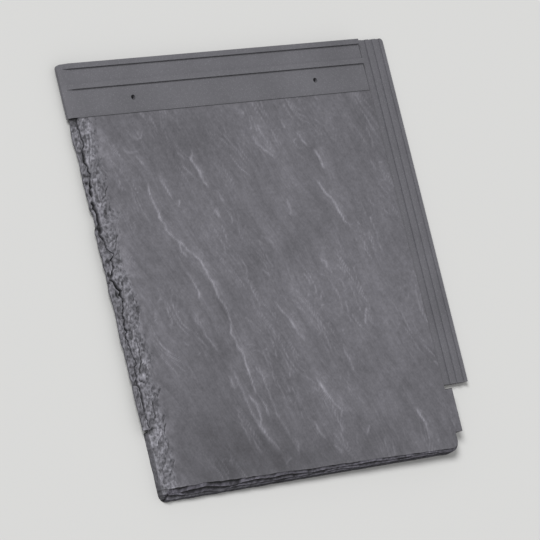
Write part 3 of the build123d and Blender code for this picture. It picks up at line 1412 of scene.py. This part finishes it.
def toned(tree, colour, tone):
    """A colour multiplied by a tone."""
    node = add(tree, "VectorMath", operation="SCALE")
    feed(tree, colour, node.inputs[0])
    feed(tree, tone, node.inputs["Scale"])
    return node.outputs[0]


def bumped(tree, height, strength, distance):
    """The normal of a bumpy surface. The distance is in millimetres."""
    bump = add(tree, "Bump")
    bump.inputs["Strength"].default_value = strength
    bump.inputs["Distance"].default_value = distance * MM
    feed(tree, height, bump.inputs["Height"])
    return bump.outputs["Normal"]


print("masks for the finishes:", ", ".join(masks))

# %% [markdown]
# Stone tone: slate is never one grey. Broad clouds come from the clay it was made of, and
# specks from single grains. The two are multiplied, as a value about one.

# %% Stone tone group
tone_inputs = {"Cloud Size": 60.0, "Cloud Strength": 0.3, "Speck Size": 1.6, "Speck Strength": 0.3}
stone_tone, given, tone_out = new_group("stone_tone", tone_inputs, ["Tone"])
coordinates = own_place(stone_tone)
cloud_scale = maths(stone_tone, "DIVIDE", per_metre, given["Cloud Size"])
speck_scale = maths(stone_tone, "DIVIDE", per_metre, given["Speck Size"])
cloud_noise = noise(stone_tone, coordinates, cloud_scale, detail=2.0)
speck_noise = noise(stone_tone, coordinates, speck_scale, detail=2.0, roughness=0.6)
cloud_tone = around_one(stone_tone, cloud_noise, given["Cloud Strength"])
speck_tone = around_one(stone_tone, speck_noise, given["Speck Strength"])
feed(stone_tone, maths(stone_tone, "MULTIPLY", cloud_tone, speck_tone), tone_out["Tone"])
print(stone_tone.name, len(stone_tone.nodes), "nodes")

# %% [markdown]
# Stone grit: the surface is full of tiny grains. Two sizes of noise make the height for
# the bump, and the finer one also makes some grains rougher than others.

# %% Stone grit group
fine_grain_scale = 3.1
coarse_share = 0.65
fine_share = 0.35

stone_grit, given, grit_out = new_group("stone_grit", {"Grain Size": 0.9}, ["Height", "Roughness Change"])
coordinates = own_place(stone_grit)
coarse_scale = maths(stone_grit, "DIVIDE", per_metre, given["Grain Size"])
fine_scale = maths(stone_grit, "MULTIPLY", coarse_scale, fine_grain_scale)
coarse = noise(stone_grit, coordinates, coarse_scale, roughness=0.6)
fine = noise(stone_grit, coordinates, fine_scale, detail=2.0)
fine_part = maths(stone_grit, "MULTIPLY", fine, fine_share)
feed(stone_grit, ramp(stone_grit, coarse, coarse_share, fine_part), grit_out["Height"])
feed(stone_grit, maths(stone_grit, "SUBTRACT", fine, 0.5), grit_out["Roughness Change"])
print(stone_grit.name, len(stone_grit.nodes), "nodes")

# %% [markdown]
# Riven slate: the face and the crushed edges. The base colour is the grey that the middle
# of the face has in the photograph. The masks from the mesh change it: crushed stone is a
# touch paler; the butt is darker, partly its own tone and partly painted shade; crests are
# painted paler and dips darker, partly wear and dirt and partly painted highlight and
# shade; layer edges and scarp crests get painted highlight; and the splits between layers
# are painted nearly black as shade. Fine and broad streaks follow the grain of the face.

# %% Streaks along the grain
streak_bend = 30.0
streak_bend_length = 70.0


def streaks(tree, length, width):
    """Noise stretched along the grain of the face, which bends a little."""
    coordinates = own_place(tree)
    sway = noise(tree, coordinates, per_metre / streak_bend_length, detail=1.0, output="Color")
    shift = add(tree, "VectorMath", operation="MULTIPLY_ADD")
    shift.inputs[1].default_value = (streak_bend * MM, 0.0, 0.0)
    feed(tree, sway, shift.inputs[0])
    feed(tree, coordinates, shift.inputs[2])
    turned = add(tree, "Mapping", vector_type="TEXTURE")
    turned.inputs["Rotation"].default_value = (0.0, 0.0, grain_angle)
    turned.inputs["Scale"].default_value = (length * MM, width * MM, width * MM)
    feed(tree, shift.outputs[0], turned.inputs["Vector"])
    return noise(tree, turned.outputs[0], 1.0, roughness=0.6)


riven_material, tree, shader = new_material("riven_slate")
fine_streaks = streaks(tree, length=30.0, width=1.5)
broad_streaks = streaks(tree, length=60.0, width=11.0)
print("streaks", len(tree.nodes), "nodes")

# %% [markdown]
# The colour is a grey that is multiplied by one tone after another. Each tone is a value
# about one, so each can be made stronger or weaker by itself.

# %% Riven slate colour
slate_colour = (0.137, 0.134, 0.150, 1.0)
crushed_colour = (0.141, 0.139, 0.156, 1.0)
# The butt's colour is darker and bluer: partly its own tone, partly painted shade.
butt_colour = (0.098, 0.094, 0.113, 1.0)
fine_mottle = {"Cloud Size": 60.0, "Cloud Strength": 0.50, "Speck Size": 1.8, "Speck Strength": 0.50}
broad_mottle = {"Cloud Size": 20.0, "Cloud Strength": 0.52, "Speck Size": 4.5, "Speck Strength": 0.48}
fine_streak_strength = 0.38
broad_streak_strength = 0.62
face_crest_strength = 0.14
crushed_crest_strength = 0.46
fleck_size = 1.9
small_fleck_strength = 0.6
large_fleck_strength = 0.34
highlight_and_bruise_strength = 0.66
split_tone = 0.2

crushed = attribute(tree, "crushed")
crest_strength = ramp(tree, crushed, crushed_crest_strength, face_crest_strength)
flecks = cells(tree, fleck_size)
shade = add(tree, "SeparateColor")
feed(tree, flecks["Color"], shade.inputs[0])
small_fleck = maths(tree, "SUBTRACT", shade.outputs[0], 0.5)
large_fleck = maths(tree, "MULTIPLY", attribute(tree, "fleck"), large_fleck_strength)
both_flecks = ramp(tree, small_fleck, small_fleck_strength, large_fleck)
split_darkness = maths(tree, "MULTIPLY", attribute(tree, "split"), 1.0 - split_tone)
tones = (
    use_group(tree, stone_tone, fine_mottle)["Tone"],
    use_group(tree, stone_tone, broad_mottle)["Tone"],
    # Clouds: partly the stone's own tone, partly painted shade.
    attribute(tree, "cloud"),
    around_one(tree, fine_streaks, fine_streak_strength),
    around_one(tree, broad_streaks, broad_streak_strength),
    # Painted highlight on crests and painted shade in dips, with some wear and dirt.
    ramp(tree, attribute(tree, "crest"), crest_strength, 1.0),
    # Flecks and chip tones: partly stone colour, partly painted glints on tilted chips.
    ramp(tree, both_flecks, crushed, 1.0),
    # Painted highlight on crests and layer edges, with pale bruises.
    ramp(tree, attribute(tree, "worn"), highlight_and_bruise_strength, 1.0),
    # Painted shade: the splits, cracks, pits and crevice are darkened.
    maths(tree, "SUBTRACT", 1.0, split_darkness),
)
colour = mixed(tree, crushed, slate_colour, crushed_colour)
# The butt is darkened, partly as painted shade.
colour = mixed(tree, attribute(tree, "butt"), colour, butt_colour)
for tone in tones:
    colour = toned(tree, colour, tone)
feed(tree, colour, shader.inputs["Base Color"])
print("colour of", len(tones), "tones")

# %% [markdown]
# Split slate is dull with a faint sheen, and the crushed stone is duller still. The grit,
# the fine streaks and the small facets of the crushed stone all shape the surface a little.

# %% Riven slate surface
stone_gloss = 0.3
face_roughness = 0.50
crushed_roughness = 0.12
roughness_change = 0.5
facet_height = -1.2
streak_height = 0.5

grit = use_group(tree, stone_grit, {"Grain Size": 0.9})
roughness = ramp(tree, crushed, crushed_roughness, face_roughness)
change = maths(tree, "MULTIPLY", grit["Roughness Change"], roughness_change)
feed(tree, maths(tree, "ADD", roughness, change, clamp=True), shader.inputs["Roughness"])
facet_distance = maths(tree, "MULTIPLY", flecks["Distance"], crushed)
grit_and_facets = ramp(tree, facet_distance, facet_height, grit["Height"])
height = ramp(tree, fine_streaks, streak_height, grit_and_facets)
feed(tree, bumped(tree, height, strength=0.45, distance=0.14), shader.inputs["Normal"])
shader.inputs["Specular IOR Level"].default_value = stone_gloss
print(riven_material.name, len(tree.nodes), "nodes")

# %% [markdown]
# Moulded grit: the sides, the flange, the head lap and the back, as the steel mould left
# them. It is the same stuff, but smoother and more even, with small pale grains of stone.

# %% Moulded grit material
grit_colour = (0.130, 0.128, 0.142, 1.0)
pale_grain_colour = (0.215, 0.213, 0.232, 1.0)
grit_mottle = {"Cloud Size": 45.0, "Cloud Strength": 0.45, "Speck Size": 2.6, "Speck Strength": 0.24}
grain_spacing = 1.3
grain_radius = 0.23
grain_strength = 0.6
grit_roughness = 0.58
grit_roughness_change = 0.4

grit_material, tree, shader = new_material("moulded_grit")
grain = maths(tree, "LESS_THAN", cells(tree, grain_spacing)["Distance"], grain_radius)
colour = mixed(tree, maths(tree, "MULTIPLY", grain, grain_strength), grit_colour, pale_grain_colour)
colour = toned(tree, colour, use_group(tree, stone_tone, grit_mottle)["Tone"])
feed(tree, colour, shader.inputs["Base Color"])
grit = use_group(tree, stone_grit, {"Grain Size": 1.1})
change = maths(tree, "MULTIPLY", grit["Roughness Change"], grit_roughness_change)
feed(tree, maths(tree, "ADD", grit_roughness, change, clamp=True), shader.inputs["Roughness"])
feed(tree, bumped(tree, grit["Height"], strength=0.35, distance=0.1), shader.inputs["Normal"])
shader.inputs["Specular IOR Level"].default_value = stone_gloss
print(grit_material.name, len(tree.nodes), "nodes")

# %% [markdown]
# Now the two solids meet. The copy of the exact solid is cleaned first: its triangles are
# welded and merged back to flat faces. The Boolean keeps what both solids share, takes each
# face's material from the solid that it came from, and carries the masks across.

# %% The riven tile
weld_distance = 1e-6
flat_angle = 0.0005
sharp_angle = math.radians(38)

cleaned = bmesh.new()
cleaned.from_mesh(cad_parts["slate_tile"].data)
bmesh.ops.remove_doubles(cleaned, verts=cleaned.verts, dist=weld_distance)
bmesh.ops.dissolve_limit(cleaned, angle_limit=flat_angle, verts=cleaned.verts, edges=cleaned.edges)
solid_mesh = bpy.data.meshes.new("moulded_solid")
cleaned.to_mesh(solid_mesh)
cleaned.free()
if "custom_normal" in solid_mesh.attributes:
    solid_mesh.attributes.remove(solid_mesh.attributes["custom_normal"])
solid_mesh.materials.append(grit_material)
block_mesh.materials.append(riven_material)
moulded = new_object("moulded_solid", solid_mesh)
block = new_object("riven_block", block_mesh)
meet = moulded.modifiers.new("meet", "BOOLEAN")
meet.operation = "INTERSECT"
meet.solver = "MANIFOLD"
meet.material_mode = "TRANSFER"
meet.object = block
evaluated = moulded.evaluated_get(bpy.context.evaluated_depsgraph_get())
tile_mesh = bpy.data.meshes.new_from_object(evaluated)
tile_mesh.name = "riven_slate_tile"
bpy.data.objects.remove(moulded)
bpy.data.objects.remove(block)
tile = new_object("riven_slate_tile", tile_mesh)
tile_mesh.shade_smooth()
tile_mesh.set_sharp_from_angle(angle=sharp_angle)
triangles = sum(len(face.vertices) - 2 for face in tile_mesh.polygons)
print("tile", len(tile_mesh.vertices), "points,", triangles, "triangles")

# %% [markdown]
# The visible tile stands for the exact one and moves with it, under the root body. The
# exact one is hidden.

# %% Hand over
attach(tile, "root")
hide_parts("slate_tile")
bpy.context.scene.view_settings.view_transform = "Standard"
